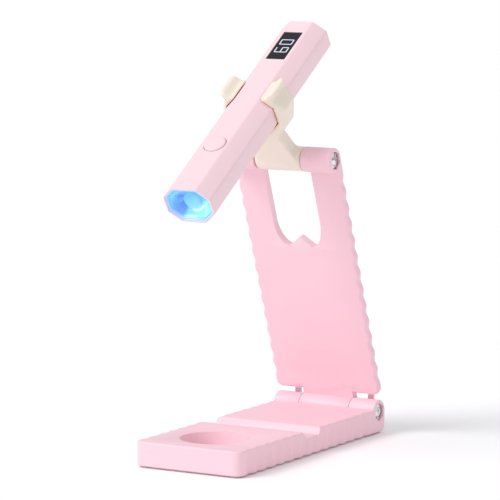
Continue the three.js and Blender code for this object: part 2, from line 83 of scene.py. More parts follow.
def studio_floor(half, depth):
    bm = bmesh.new()
    corners = [(-half, -half), (half, -half), (half, depth), (-half, depth)]
    bm.faces.new([bm.verts.new((x, y, 0)) for x, y in corners])
    mesh = bpy.data.meshes.new("floor")
    bm.to_mesh(mesh)
    bm.free()
    paint = bpy.data.materials.new("floor_paint")
    paint.use_nodes = True
    shader = paint.node_tree.nodes["Principled BSDF"]
    shader.inputs["Base Color"].default_value = (0.985, 0.985, 0.99, 1)
    shader.inputs["Roughness"].default_value = 0.9
    shader.inputs["Specular IOR Level"].default_value = 0.1
    mesh.materials.append(paint)
    floor = bpy.data.objects.new("floor", mesh)
    bpy.context.scene.collection.objects.link(floor)
    return floor


def soft_sun(name, strength, spread, direction, colour):
    light = bpy.data.lights.new(name, "SUN")
    light.energy = strength
    light.angle = math.radians(spread)
    light.color = colour
    sun = bpy.data.objects.new(name, light)
    sun.rotation_euler = Vector(direction).to_track_quat("-Z", "Y").to_euler()
    bpy.context.scene.collection.objects.link(sun)


studio_floor(12, 30)
soft_sun("key_light", 1.55, 32, (0.46, 0.68, -0.70), (1, 0.985, 0.97))
sky = bpy.data.worlds.new("studio_sky")
sky.use_nodes = True
sky.node_tree.nodes["Background"].inputs["Color"].default_value = (0.975, 0.98, 1, 1)
sky.node_tree.nodes["Background"].inputs["Strength"].default_value = 0.745
bpy.context.scene.world = sky
bpy.context.scene.view_settings.view_transform = "Standard"

# ---- Base shell ----
# A pink ABS box, moulded in one piece: finger scallops down both sides, a round well for a pot, a sloped
# groove that holds a phone, and two hinge knuckles at the rear with hexagonal pockets for the bolt and nut.

MM = 0.001
ACROSS = Matrix(((0, 0, 1, 0), (1, 0, 0, 0), (0, 1, 0, 0), (0, 0, 0, 1)))
joints = {joint["name"]: joint for joint in frame["joints"]}
fold_axis = Vector(joints["stand_fold"]["pos_m"]) / MM
base_low, base_high = (Vector(corner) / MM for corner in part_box("base_shell"))

base_top = 13.2
barrel = 6.4
knuckle_gap = 0.35
tongue_half = 14.6
scallop_depth = 0.9
scallop_pitch = 9
bolt_bore = 2.62
pocket_flats = 8.6
pocket_depth = 4.6
base_wall = 2.4
base_roof = 2.2
corner_radius = 4.6
rear_foot_radius = 3
well = {"y": -48.8, "radius": 17.4, "floor": 5.9, "wall": 1.7, "underside": 4.2}
groove = {"front": -12.1, "rear": 5.4, "floor_front": -8, "floor_rear": 3.4, "floor": 9.7, "open_to": 16}
cavity = {"front_end": -12.6, "rear_start": 9, "rear_end": 59.9}
low_cavity = {"start": -13.1, "end": 9.4, "roof": 7.7}
lug = {"x": 21.7, "half": 1.7, "behind_hinge": 5.6, "foot": 6}
boss = {"radius": 3, "foot": 2.9, "pilot": 1.35, "pilot_foot": 1, "pilot_top": 8.6}
waves_end = 59
screw_places = [(x, y) for y in (-69.5, 54) for x in (-23, 23)]


def stock(bm):
    """A new object from a bmesh, with its faces outwards."""
    bmesh.ops.recalc_face_normals(bm, faces=bm.faces)
    mesh = bpy.data.meshes.new("stock")
    bm.to_mesh(mesh)
    bm.free()
    piece = bpy.data.objects.new("stock", mesh)
    bpy.context.scene.collection.objects.link(piece)
    return piece


def join_rings(bm, near, far):
    """A closed solid between two rings with as many points each."""
    low = [bm.verts.new(point) for point in near]
    high = [bm.verts.new(point) for point in far]
    bm.faces.new(low)
    bm.faces.new(high)
    for i, corner in enumerate(low):
        bm.faces.new((corner, low[i - 1], high[i - 1], high[i]))


def bar(outline, start, end, place=Matrix()):
    """A closed bar of that outline from one height to another, set in its place."""
    bm = bmesh.new()
    join_rings(bm, [(x, y, start) for x, y in outline], [(x, y, end) for x, y in outline])
    bm.transform(place)
    return stock(bm)


def arc(centre, radius, start, end, steps):
    """Points round a circle between two angles in degrees."""
    angles = [math.radians(start + (end - start) * i / steps) for i in range(steps + 1)]
    return [(centre[0] + radius * math.cos(a), centre[1] + radius * math.sin(a)) for a in angles]


def circle(radius, centre=(0, 0), sides=96, first=90):
    """A ring of points, the first at that angle, or a regular polygon if it has few sides."""
    return arc(centre, radius, first, first + 360, sides)[:-1]


def rod(radius, x0, x1, centre=(0, 0), sides=96):
    """A round bar along X; with six sides it is a hexagonal one with a corner on top."""
    return bar(circle(radius, centre, sides), x0, x1, ACROSS)


def hexagon_rod(flats, x0, x1, centre=(0, 0)):
    return rod(flats / math.sqrt(3), x0, x1, centre, 6)


def post(radius, z0, z1, centre=(0, 0), sides=64):
    return bar(circle(radius, centre, sides), z0, z1)


def rounded_rectangle(x0, x1, y0, y1, radius, steps=6):
    corners = [(x1, y1, 0), (x0, y1, 90), (x0, y0, 180), (x1, y0, 270)]
    points = []
    for x, y, start in corners:
        centre = (x - math.copysign(radius, x - (x0 + x1) / 2), y - math.copysign(radius, y - (y0 + y1) / 2))
        points += arc(centre, radius, start, start + 90, steps)
    return points


def block(x0, x1, y0, y1, z0, z1):
    return bar([(x0, y0), (x1, y0), (x1, y1), (x0, y1)], z0, z1)


def settle(piece):
    """Takes the piece as its modifiers leave it, and clears them."""
    bpy.context.view_layer.update()
    made = bpy.data.meshes.new_from_object(piece.evaluated_get(bpy.context.evaluated_depsgraph_get()))
    piece.modifiers.clear()
    piece.data = made
    return piece


def fitted(piece, operation, tools):
    """Joins the tools to the piece, cuts them from it, or keeps what they share with it."""
    for tool in tools:
        step = piece.modifiers.new(operation, "BOOLEAN")
        step.operation = operation
        step.solver = "EXACT"
        step.object = tool
    settle(piece)
    for tool in tools:
        bpy.data.objects.remove(tool)
    return piece


def softened(piece, radius, steps=3, least_angle=32, held=True):
    """Rounds each edge as a mould does, and shades it smooth. Held rounding stops where it would overlap."""
    bm = bmesh.new()
    bm.from_mesh(piece.data)
    bmesh.ops.remove_doubles(bm, verts=bm.verts, dist=0.003)
    bmesh.ops.dissolve_limit(bm, angle_limit=math.radians(0.4), verts=bm.verts, edges=bm.edges)
    bm.to_mesh(piece.data)
    bm.free()
    rounding = piece.modifiers.new("rounding", "BEVEL")
    rounding.width = radius
    rounding.segments = steps
    rounding.limit_method = "ANGLE"
    rounding.use_clamp_overlap = held
    rounding.angle_limit = math.radians(least_angle)
    piece.data.shade_smooth()
    rounding.harden_normals = True
    return settle(piece)


class Signal:
    """A number that changes over a surface, so that shader maths reads as plain expressions."""

    def __init__(self, finish, socket):
        self.finish = finish
        self.socket = socket

    def __add__(self, other):
        return self.finish.maths("ADD", self, other)

    def __sub__(self, other):
        return self.finish.maths("SUBTRACT", self, other)

    def __rsub__(self, other):
        return self.finish.maths("SUBTRACT", other, self)

    def __mul__(self, other):
        return self.finish.maths("MULTIPLY", self, other)

    __radd__ = __add__
    __rmul__ = __mul__


class Finish:
    """One material: constants go straight on its shader, and every node is added by one method."""

    def __init__(self, name, colour, roughness, **constants):
        self.material = bpy.data.materials.new(name)
        self.material.use_nodes = True
        self.tree = self.material.node_tree
        self.shader = self.tree.nodes["Principled BSDF"]
        self.shader.inputs["Base Color"].default_value = (*colour, 1)
        self.shader.inputs["Roughness"].default_value = roughness
        for socket, value in constants.items():
            self.shader.inputs[socket.replace("_", " ")].default_value = value

    def node(self, kind, settings=None, sockets=None, output=0):
        """Adds a node with its settings, then the values or links of its sockets, and gives one output."""
        made = self.tree.nodes.new(kind)
        for key, value in (settings or {}).items():
            setattr(made, key, value)
        for key, value in (sockets or {}).items():
            if isinstance(value, Signal):
                self.tree.links.new(value.socket, made.inputs[key])
            else:
                made.inputs[key].default_value = value
        return Signal(self, made.outputs[output])

    def maths(self, operation, *values):
        return self.node("ShaderNodeMath", {"operation": operation}, dict(enumerate(values)))

    def feed(self, socket, signal):
        self.tree.links.new(signal.socket, self.shader.inputs[socket])

    def place(self):
        return self.node("ShaderNodeTexCoord", output="Object")

    def noise(self, scale, detail=2.0, roughness=0.5):
        sockets = {"Vector": self.place(), "Scale": scale, "Detail": detail, "Roughness": roughness}
        return self.node("ShaderNodeTexNoise", {"noise_dimensions": "3D"}, sockets)

    def blend(self, amount, first, second):
        """A colour between two, by the amount. The sockets of a colour Mix go by number: 0, 6, 7 and 2."""
        return self.node("ShaderNodeMix", {"data_type": "RGBA"}, {0: amount, 6: first, 7: second}, output=2)

    def relief(self, height, strength, depth):
        """Fine bumps in the surface, at most that many metres deep."""
        sockets = {"Height": height, "Strength": strength, "Distance": depth}
        self.feed("Normal", self.node("ShaderNodeBump", None, sockets))


def moulded(name, colour, shade, roughness, grain=0.00002, painted_glow=None, **constants):
    """Moulded plastic: a slow drift of tone, a fine spark-eroded grain and a slightly uneven gloss."""
    finish = Finish(name, colour, roughness, **constants)
    drift = finish.noise(28, 3)
    speckle = finish.noise(5200, 2, 0.6)
    tone = finish.blend(drift * 0.7 + speckle * 0.3, (*colour, 1), (*shade, 1))
    if painted_glow:
        # A painted warm glow of light passing through the plastic and bouncing off the lamp, strongest where
        # the piece lies against it.
        near = finish.node("ShaderNodeAttribute", {"attribute_name": "painted_glow"}, output="Fac")
        tone = finish.blend(near * near * 0.8, tone, (*painted_glow, 1))
    finish.feed("Base Color", tone)
    finish.feed("Roughness", drift * 0.1 + speckle * 0.06 + (roughness - 0.08))
    finish.relief(speckle + drift * 0.5, 0.35, grain)
    return finish.material


stand_pink = moulded("stand_pink", (0.93, 0.62, 0.70), (0.91, 0.59, 0.67), 0.42)


def new_tree(name, sizes):
    """An empty Geometry Nodes tree with a named input for each size; gives the tree and those inputs."""
    tree = bpy.data.node_groups.new(name, "GeometryNodeTree")
    for size, value in sizes.items():
        tree.interface.new_socket(size, in_out="INPUT", socket_type="NodeSocketFloat").default_value = value
    tree.interface.new_socket("Geometry", in_out="OUTPUT", socket_type="NodeSocketGeometry")
    return tree, tree.nodes.new("NodeGroupInput").outputs


def tree_node(tree, kind, settings=None, sockets=None):
    """Adds a node with its settings and sockets, and gives its first output."""
    made = tree.nodes.new(kind)
    for key, value in (settings or {}).items():
        setattr(made, key, value)
    for key, value in (sockets or {}).items():
        if isinstance(value, bpy.types.NodeSocket):
            tree.links.new(value, made.inputs[key])
        else:
            made.inputs[key].default_value = value
    return made.outputs[0]


def end_tree(tree, geometry, material):
    """Every tree ends with real geometry in its material."""
    real = tree_node(tree, "GeometryNodeRealizeInstances", None, {"Geometry": geometry})
    coloured = tree_node(tree, "GeometryNodeSetMaterial", None, {"Geometry": real, "Material": material})
    tree.links.new(coloured, tree.nodes.new("NodeGroupOutput").inputs["Geometry"])


def grown(tree, sizes):
    """What the tree makes at those sizes, as a plain mesh."""
    piece = stock(bmesh.new())
    maker = piece.modifiers.new("maker", "NODES")
    maker.node_group = tree
    for item in tree.interface.items_tree:
        if item.in_out == "INPUT" and item.name in sizes:
            maker[item.identifier] = float(sizes[item.name])
    return settle(piece)


def scallop_tree(material):
    """A slab whose long edges carry whole waves: inputs give its size, the waved stretch and the waves."""
    slab_sizes = {"width": 60, "front": -76, "rear": 76, "corner": corner_radius, "thickness": 19}
    waves = {"wave_start": -70, "wave_end": waves_end, "wave_count": 14, "wave_depth": scallop_depth}
    tree, inputs = new_tree("scalloped_slab", {**slab_sizes, **waves})

    def node(kind, settings=None, **sockets):
        named = {key.replace("_", " "): value for key, value in sockets.items()}
        return tree_node(tree, kind, settings, named)

    def maths(operation, *values):
        return tree_node(tree, "ShaderNodeMath", {"operation": operation}, dict(enumerate(values)))

    length = maths("SUBTRACT", inputs["rear"], inputs["front"])
    middle = maths("MULTIPLY", maths("ADD", inputs["rear"], inputs["front"]), 0.5)
    outline = node("GeometryNodeCurvePrimitiveQuadrilateral", Width=inputs["width"], Height=length)
    moved = node("GeometryNodeSetPosition", Geometry=outline, Offset=node("ShaderNodeCombineXYZ", Y=middle))
    rounded = node("GeometryNodeFilletCurve", {"mode": "POLY"}, Curve=moved, Radius=inputs["corner"], Count=8)
    even = node("GeometryNodeResampleCurve", {"mode": "LENGTH"}, Curve=rounded, Length=0.5)
    place = node("ShaderNodeSeparateXYZ", Vector=node("GeometryNodeInputPosition")).node.outputs
    run = maths("SUBTRACT", inputs["wave_end"], inputs["wave_start"])
    along = maths("DIVIDE", maths("SUBTRACT", place["Y"], inputs["wave_start"]), run)
    phase = maths("MULTIPLY", maths("MULTIPLY", along, inputs["wave_count"]), 2 * math.pi)
    half_depth = maths("MULTIPLY", inputs["wave_depth"], 0.5)
    dip = maths("MULTIPLY", maths("SUBTRACT", 1, maths("COSINE", phase)), half_depth)
    inside = maths("MULTIPLY", maths("GREATER_THAN", along, 0), maths("LESS_THAN", along, 1))
    side = maths("SUBTRACT", maths("MULTIPLY", inputs["width"], 0.5), 0.02)
    on_side = maths("GREATER_THAN", maths("ABSOLUTE", place["X"]), side)
    held = maths("MULTIPLY", dip, maths("MULTIPLY", inside, on_side))
    outward = maths("MULTIPLY", maths("SIGN", place["X"]), held)
    pull = node("ShaderNodeCombineXYZ", X=maths("MULTIPLY", outward, -1))
    waved = node("GeometryNodeSetPosition", Geometry=even, Offset=pull)
    sheet = node("GeometryNodeFillCurve", {"mode": "NGONS"}, Curve=waved)
    rise = node("ShaderNodeCombineXYZ", Z=inputs["thickness"])
    raised = node("GeometryNodeExtrudeMesh", Mesh=sheet, Offset=rise, Offset_Scale=1, Individual=False)
    both = node("GeometryNodeJoinGeometry")
    for shape in (node("GeometryNodeFlipFaces", Mesh=sheet), raised):
        tree.links.new(shape, both.node.inputs["Geometry"])
    end_tree(tree, node("GeometryNodeMergeByDistance", Geometry=both, Distance=0.001), material)
    return tree


scalloped_slab = scallop_tree(stand_pink)


def finished(piece, name, body, material, replaced, frame_matrix=Matrix()):
    """Sets a piece in the row frame, in metres, with its material, body and the nodes it stands for."""
    piece.name = name
    piece.data.name = name
    piece.data.transform(Matrix.Scale(MM, 4) @ frame_matrix)
    piece.data.materials.clear()
    piece.data.materials.append(material)
    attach(piece, body)
    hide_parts(*replaced)


def base_side_profile():
    """The base from its side: a flat box whose rear rises into the hinge's round knuckles."""
    rear = fold_axis.y + barrel
    rise = math.degrees(math.asin((base_top - fold_axis.z) / barrel))
    foot = (rear - rear_foot_radius, base_low.z + rear_foot_radius)
    return [
        (base_low.y, base_low.z),
        *arc(foot, rear_foot_radius, -90, 0, 8),
        *arc((fold_axis.y, fold_axis.z), barrel, 0, 180 - rise, 36),
        (base_low.y, base_top),
    ]


def phone_groove():
    """A trough across the base, with a long slope in front of its floor and a steep wall behind it."""
    across = [
        (groove["front"], base_top), (groove["front"], groove["open_to"]),
        (groove["rear"], groove["open_to"]), (groove["rear"], base_top),
        (groove["floor_rear"], groove["floor"]), (groove["floor_front"], groove["floor"]),
    ]
    return bar(across, base_low.x - 1, base_high.x + 1, ACROSS)


def hinge_pockets(spread, centre=(0, 0)):
    """The tools for one hinge: its bore, and a hexagonal pocket at each end."""
    reach = spread + 2
    floor_x = spread - pocket_depth
    return [
        rod(bolt_bore, -reach, reach, centre, 64),
        hexagon_rod(pocket_flats, floor_x, reach, centre),
        hexagon_rod(pocket_flats, -reach, -floor_x, centre),
    ]


def base_body():
    hinge = (fold_axis.y, fold_axis.z)
    half = base_high.x
    cheek = tongue_half + knuckle_gap
    start = base_low.y + 6
    body = grown(scalloped_slab, {
        "width": 2 * half, "front": base_low.y, "rear": fold_axis.y + barrel + 8, "corner": corner_radius,
        "thickness": 22, "wave_start": start, "wave_end": waves_end,
        "wave_count": round((waves_end - start) / scallop_pitch), "wave_depth": scallop_depth,
    })
    fitted(body, "INTERSECT", [bar(base_side_profile(), -half - 1, half + 1, ACROSS)])
    softened(body, 0.95, held=False)
    lug_front = hinge[0] + lug["behind_hinge"]
    lug_sides = [(x - lug["half"], x + lug["half"]) for x in (-lug["x"], lug["x"])]
    lugs = [block(x0, x1, lug_front, base_high.y, lug["foot"], base_high.z) for x0, x1 in lug_sides]
    fitted(body, "UNION", [softened(rib, 0.35) for rib in lugs])
    inner = half - base_wall
    roof = base_top - base_roof
    fitted(body, "DIFFERENCE", [
        post(well["radius"], well["floor"], base_top + 5, (0, well["y"]), 128),
        rod(barrel + knuckle_gap, -cheek, cheek, hinge),
        block(-cheek, cheek, hinge[0], base_high.y + 3, hinge[1], 30),
        block(-inner, inner, cavity["rear_start"], cavity["rear_end"], 0, roof),
        block(-inner, inner, low_cavity["start"], low_cavity["end"], 0, low_cavity["roof"]),
        phone_groove(),
        *hinge_pockets(half, hinge),
    ])
    front_cavity = block(-inner, inner, base_low.y + base_wall, cavity["front_end"], 0, roof)
    well_wall = post(well["radius"] + well["wall"], well["underside"], 20, (0, well["y"]))
    fitted(front_cavity, "DIFFERENCE", [well_wall])
    fitted(body, "DIFFERENCE", [front_cavity])
    bosses = [post(boss["radius"], boss["foot"], base_top - 2, place, 32) for place in screw_places]
    fitted(body, "UNION", bosses)
    pilots = [post(boss["pilot"], boss["pilot_foot"], boss["pilot_top"], place, 24) for place in screw_places]
    return fitted(body, "DIFFERENCE", pilots)


base = softened(base_body(), 0.4, 2, 40)
finished(base, "base_moulding", "base", stand_pink, ["base_shell"])

# ---- Bottom cover, screws and pad ----
# A flat pink cover closes the base from below, held by four small cross-head screws set in counterbores,
# and a thin rubber sheet glued over it keeps the stand from sliding.

cover_low, cover_high = (Vector(corner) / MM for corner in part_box("base_bottom_cover"))
pad_low, pad_high = (Vector(corner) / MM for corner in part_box("non_slip_pad"))
screw_low, screw_high = (Vector(corner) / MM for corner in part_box("cover_screw_1"))
screw_hole = 1.6
screw_seat = {"radius": 2.7, "depth": 0.9}
screw_head = {"radius": 2.3, "height": 0.65, "recess": 0.35}
screw_thread = {"radius": 1.2, "root": 1.0, "pitch": 0.5, "tip": 0.9}


def turned(profile, place=Matrix(), steps=64):
    """A piece turned on a lathe: the profile gives radius and height, and starts and ends on the axis."""
    bm = bmesh.new()
    points = [bm.verts.new((radius, 0, height)) for radius, height in profile]
    edges = [bm.edges.new(pair) for pair in zip(points, points[1:])]
    bmesh.ops.spin(bm, geom=points + edges, axis=(0, 0, 1), cent=(0, 0, 0), angle=2 * math.pi, steps=steps)
    bmesh.ops.remove_doubles(bm, verts=bm.verts, dist=0.0005)
    bm.transform(place)
    return stock(bm)


def rubber(name, colour):
    """Matt rubber sheet with fine pores."""
    finish = Finish(name, colour, 0.8)
    pores = finish.noise(2600, 3, 0.7)
    finish.feed("Roughness", pores * 0.2 + 0.7)
    finish.relief(pores, 0.6, 0.00006)
    return finish.material


def plated_steel(name, colour, painted_shade_tone, roughness):
    """Bright zinc plate: fine turned lines, a cloudy gloss, and random darker patches of painted shade."""
    finish = Finish(name, colour, roughness, Metallic=1.0)
    stretched = finish.node("ShaderNodeMapping", None, {"Vector": finish.place(), "Scale": (400, 5200, 5200)})
    lines = finish.node("ShaderNodeTexNoise", None, {"Vector": stretched, "Scale": 1.0, "Detail": 3.0})
    cloud = finish.noise(480, 3)
    # Darker cloudy patches, painted on as shade on the steel.
    painted_shade_patches = finish.node("ShaderNodeClamp", None, {"Value": (cloud - 0.36) * 6})
    finish.feed("Base Color", finish.blend(painted_shade_patches, (*painted_shade_tone, 1), (*colour, 1)))
    finish.feed("Roughness", cloud * 0.16 + lines * 0.1 + (roughness - 0.1))
    finish.relief(lines, 0.25, 0.00002)
    return finish.material


def cover_plate():
    outline = rounded_rectangle(cover_low.x, cover_high.x, cover_low.y, cover_high.y, 0.6)
    plate = bar(outline, cover_low.z, cover_high.z)
    seat_top = cover_low.z + screw_seat["depth"]
    holes = [post(screw_hole, 0, cover_high.z + 3, place, 32) for place in screw_places]
    seats = [post(screw_seat["radius"], 0, seat_top, place, 48) for place in screw_places]
    return fitted(plate, "DIFFERENCE", holes + seats)


def cover_screw():
    """One pan-head screw, head down, with a cross recess and a threaded shank."""
    head, tip = screw_low.z, screw_high.z
    rim, crest, root = screw_head["radius"], screw_thread["radius"], screw_thread["root"]
    pitch, neck = screw_thread["pitch"], head + screw_head["height"]
    profile = [(0, head), (rim - 0.4, head), (rim, head + 0.25), (rim, neck - 0.05), (crest, neck)]
    for i in range(int((tip - head - 1.6) / pitch)):
        height = head + 0.9 + pitch * i
        profile += [(root, height), (crest, height + pitch / 2)]
    profile += [(screw_thread["tip"], tip - 0.5), (0, tip)]
    long, narrow, depth = 1.3, 0.28, head + screw_head["recess"]
    cross = [block(-long, long, -narrow, narrow, 0, depth), block(-narrow, narrow, -long, long, 0, depth)]
    return fitted(turned(profile, steps=32), "DIFFERENCE", cross)


def screws_in_place(screw, material):
    """Sets one screw at each corner of a rectangle: a small grid of points, and an instance on each."""
    (x0, y0), (x1, y1) = screw_places[0], screw_places[-1]
    sizes = {"spacing_x": x1 - x0, "spacing_y": y1 - y0, "middle_y": (y0 + y1) / 2}
    tree, inputs = new_tree("screws_at_corners", sizes)
    spacing = {"Size X": inputs["spacing_x"], "Size Y": inputs["spacing_y"]}
    grid = tree_node(tree, "GeometryNodeMeshGrid", None, {**spacing, "Vertices X": 2, "Vertices Y": 2})
    shift = tree_node(tree, "ShaderNodeCombineXYZ", None, {"Y": inputs["middle_y"]})
    moved = tree_node(tree, "GeometryNodeSetPosition", None, {"Geometry": grid, "Offset": shift})
    source = tree_node(tree, "GeometryNodeObjectInfo", None, {"Object": screw}).node.outputs["Geometry"]
    copies = tree_node(tree, "GeometryNodeInstanceOnPoints", None, {"Points": moved, "Instance": source})
    end_tree(tree, copies, material)
    piece = grown(tree, sizes)
    bpy.data.objects.remove(screw)
    return piece


zinc_steel = plated_steel("zinc_steel", (0.82, 0.82, 0.83), (0.16, 0.16, 0.17), 0.18)
pad_rubber = rubber("pad_rubber", (0.70, 0.60, 0.61))
cover = softened(cover_plate(), 0.2, 2)
finished(cover, "bottom_cover", "base", stand_pink, ["base_bottom_cover"])
cover_screws = softened(screws_in_place(cover_screw(), zinc_steel), 0.06, 1, 50)
screw_nodes = ["cover_screw_1", "cover_screw_2", "cover_screw_3", "cover_screw_4"]
finished(cover_screws, "cover_screws", "base", zinc_steel, screw_nodes)
pad = bar(rounded_rectangle(pad_low.x, pad_high.x, pad_low.y, pad_high.y, 3, 10), pad_low.z, pad_high.z)
finished(softened(pad, 0.15, 2), "non_slip_sheet", "base", pad_rubber, ["non_slip_pad"])

# ---- Upright ----
# One moulded plate with the same scallops, leaning forwards over the base. A tongue at its foot turns between
# the base's knuckles, and two ears at its top leave a window where the clip swings.

tilt_axis = Vector(joints["clip_tilt"]["pos_m"]) / MM
reach_of_plate = (tilt_axis - fold_axis).length
lean = math.atan2(fold_axis.y - tilt_axis.y, tilt_axis.z - fold_axis.z)
plate_frame = Matrix.Translation(fold_axis) @ Matrix.Rotation(lean, 4, "X")
plate_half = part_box("upright")[1].x / MM
plate_front = 2
plate_back = 6.2
plate_foot = 8.7
window_half = 13.7
window_peak = 98.3


def bezier(p0, p1, p2, p3, steps):
    """Points along a cubic curve between two ends, pulled by two handles."""
    points = []
    for i in range(steps + 1):
        t = i / steps
        weights = ((1 - t) ** 3, 3 * t * (1 - t) ** 2, 3 * t * t * (1 - t), t**3)
        points.append(tuple(sum(w * p[k] for w, p in zip(weights, (p0, p1, p2, p3))) for k in (0, 1)))
    return points


def window_outline():
    """Rounded lower corners that dip to two points, and a low peak between them."""
    corner = bezier((6.9, 93.2), (11.6, 95.0), (window_half, 101.5), (window_half, 107.5), 16)
    right = [(0.6, window_peak), *corner, (window_half, reach_of_plate + 2 * barrel)]
    return right + [(-x, y) for x, y in reversed(right)]


def upright_body():
    top = reach_of_plate
    stand_up = Matrix.Translation((0, plate_back, 0)) @ Matrix.Rotation(math.pi / 2, 4, "X")
    start, end = plate_foot + 5.5, top - 10
    body = grown(scalloped_slab, {
        "width": 2 * plate_half, "front": plate_foot, "rear": top, "corner": 3.5,
        "thickness": plate_back - plate_front, "wave_start": start, "wave_end": end,
        "wave_count": round((end - start) / scallop_pitch), "wave_depth": scallop_depth,
    })
    body.data.transform(stand_up)
    top_corners = block(-plate_half, plate_half, plate_front, plate_back, top - 6, top)
    neck = block(-tongue_half, tongue_half, plate_front, plate_back, 0, plate_foot + 4)
    foot_barrel = rod(barrel, -tongue_half, tongue_half)
    top_barrel = rod(barrel, -plate_half, plate_half, (0, top))
    fitted(body, "UNION", [top_corners, top_barrel])
    softened(body, 1.3, held=False)
    fitted(body, "UNION", [neck, foot_barrel])
    window = bar(window_outline(), -20, 20, Matrix.Rotation(math.pi / 2, 4, "X"))
    bores = [rod(bolt_bore, -plate_half, plate_half, (0, 0), 64), *hinge_pockets(plate_half, (0, top))]
    return fitted(body, "DIFFERENCE", [window, *bores])


upright = softened(upright_body(), 0.45, 2, 40)
finished(upright, "upright_moulding", "arm", stand_pink, ["upright"], plate_frame)

# ---- Hinge bolts ----
# A socket-head bolt runs through each hinge, with a washer at both pocket floors and a chamfered nut on the
# right. All are bright zinc-plated steel, sunk in the hexagonal pockets.

bolt_radius = 2.5
thread_root = 2.22
thread_pitch = 0.5
nut_flats = 8
key_flats = 4
washer = {"radius": 4, "lift": 0.2, "thickness": 0.75}
ALONG_X = Matrix.Rotation(math.pi / 2, 4, "Y")


def chamfered_nut(flats, x0, x1):
    """A hexagonal bar whose corners are turned down at both faces."""
    radius, inner = flats / math.sqrt(3), flats / 2
    slope = (radius - inner) * 0.6
    dome = [(0, x0), (inner, x0), (radius, x0 + slope), (radius, x1 - slope), (inner, x1), (0, x1)]
    return fitted(hexagon_rod(flats, x0, x1), "INTERSECT", [turned(dome, ALONG_X)])


def bored(piece, radius, x0, x1):
    """The piece with a round hole along X, right through it."""
    return fitted(piece, "DIFFERENCE", [rod(radius, x0 - 1, x1 + 1, (0, 0), 64)])


def hinge_bolt(spread):
    """A turned shank with a thread at its end, under a hexagonal head with a socket for the key."""
    floor_x = spread - pocket_depth
    end = floor_x + 4.2
    profile = [(0, -floor_x - 2), (bolt_radius, -floor_x - 2), (bolt_radius, end - 3.4)]
    for i in range(6):
        place = end - 3.3 + thread_pitch * i
        profile += [(thread_root, place), (bolt_radius, place + thread_pitch / 2)]
    profile += [(2.1, end - 0.15), (1.5, end), (0, end)]
    head = chamfered_nut(nut_flats, -floor_x - 3.6, -floor_x - 1.2)
    shank = fitted(turned(profile, ALONG_X), "UNION", [head])
    return fitted(shank, "DIFFERENCE", [hexagon_rod(key_flats, -floor_x - 5, -floor_x - 2.3)])


def hinge_nut(spread):
    x0 = spread - pocket_depth + 1.2
    return bored(chamfered_nut(nut_flats, x0, x0 + 2.5), bolt_radius + 0.05, x0, x0 + 2.5)


def hinge_washers(spread):
    near = spread - pocket_depth + washer["lift"]
    far = near + washer["thickness"]
    places = ((near, far), (-far, -near))
    return [bored(rod(washer["radius"], x0, x1), bolt_bore, x0, x1) for x0, x1 in places]


for hinge, body, spread, place in (
    ("lower", "base", base_high.x, Matrix.Translation(fold_axis)),
    ("upper", "arm", plate_half, Matrix.Translation(tilt_axis) @ Matrix.Rotation(lean, 4, "X")),
):
    hardware = {"bolt": hinge_bolt(spread), "nut": hinge_nut(spread)}
    hardware["washer_right"], hardware["washer_left"] = hinge_washers(spread)
    for kind, piece in hardware.items():
        softened(piece, 0.12, 2, 40)
        node_name = hinge + "_hinge_" + kind
        finished(piece, hinge + "_steel_" + kind, body, zinc_steel, [node_name], place)

# ---- Lamp clip ----
# A cream moulding in springy acetal: a barrel between the ears, a stem that narrows upwards, and an open
# cradle whose two arms hug the lamp and end in flared finger lips.

tailward = Vector(joints["lamp_slide"]["axis"]).normalized()
shell_low, shell_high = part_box("lamp_shell")
lamp_length = 139
lamp_head = (shell_low + shell_high) / 2 / MM - tailward * lamp_length / 2
lamp_turn = math.pi - math.atan2(tailward.y, tailward.z)
lamp_frame = Matrix.Translation(lamp_head) @ Matrix.Rotation(lamp_turn, 4, "X")
clip_barrel = lamp_frame.inverted() @ tilt_axis
cradle_head = 72.5
cradle_tail = 88.3
lip_reach = 16.1
bed_gap = 0.4
mouth_half = 7.3
half_width = 13.1
half_height = 10
front_half = 6.7
side_half = 4.4
slant = Vector((half_height - side_half, half_width - front_half)).normalized()
slant_reach = slant.dot(Vector((half_width, side_half)))


def octagon(inset=0.0, corner=0.0):
    """The lamp's outline, drawn in evenly from its outer faces, with rounded corners if asked."""
    reach, top, side = slant_reach - inset, half_height - inset, half_width - inset
    front_x, side_y = (reach - slant.y * top) / slant.x, (reach - slant.x * side) / slant.y
    right = [(front_x, -top), (side, -side_y), (side, side_y), (front_x, top)]
    points = [Vector(p) for p in right + [(-x, y) for x, y in reversed(right)]]
    if not corner:
        return [tuple(p) for p in points]
    rounded = []
    for i, here in enumerate(points):
        back = here + (points[i - 1] - here).normalized() * corner
        ahead = here + (points[(i + 1) % 8] - here).normalized() * corner
        for t in (0, 0.25, 0.5, 0.75, 1):
            rounded.append(tuple(back * (1 - t) ** 2 + here * 2 * t * (1 - t) + ahead * t * t))
    return rounded


def hull(points):
    """The tightest convex solid round some points."""
    bm = bmesh.new()
    made = bmesh.ops.convex_hull(bm, input=[bm.verts.new(p) for p in points])
    bmesh.ops.delete(bm, geom=[v for v in made["geom_interior"] if v.is_valid], context="VERTS")
    return stock(bm)


def both_sides(points):
    """The points and their mirror images across the middle."""
    return points + [(-x, *rest) for x, *rest in points]


def cradle():
    """The solid that the lamp's bed is cut from, slim at its head and full in its middle."""
    full = both_sides([(9, -15.4), (14.6, -10.1), (18.2, 1.8), (13.4, 8.4), (10.6, 10.4)])
    slim = both_sides([(8.2, -13), (12.6, -8.6), (15, 1.6), (12.6, 8), (10.6, 10)])
    tail = [(x * 1.08, y * 1.05) for x, y in slim]
    swell = ((cradle_head, slim), (cradle_head + 3.4, full), (cradle_tail - 1.7, full), (cradle_tail, tail))
    return hull([(x, y, -station) for station, outline in swell for x, y in outline])


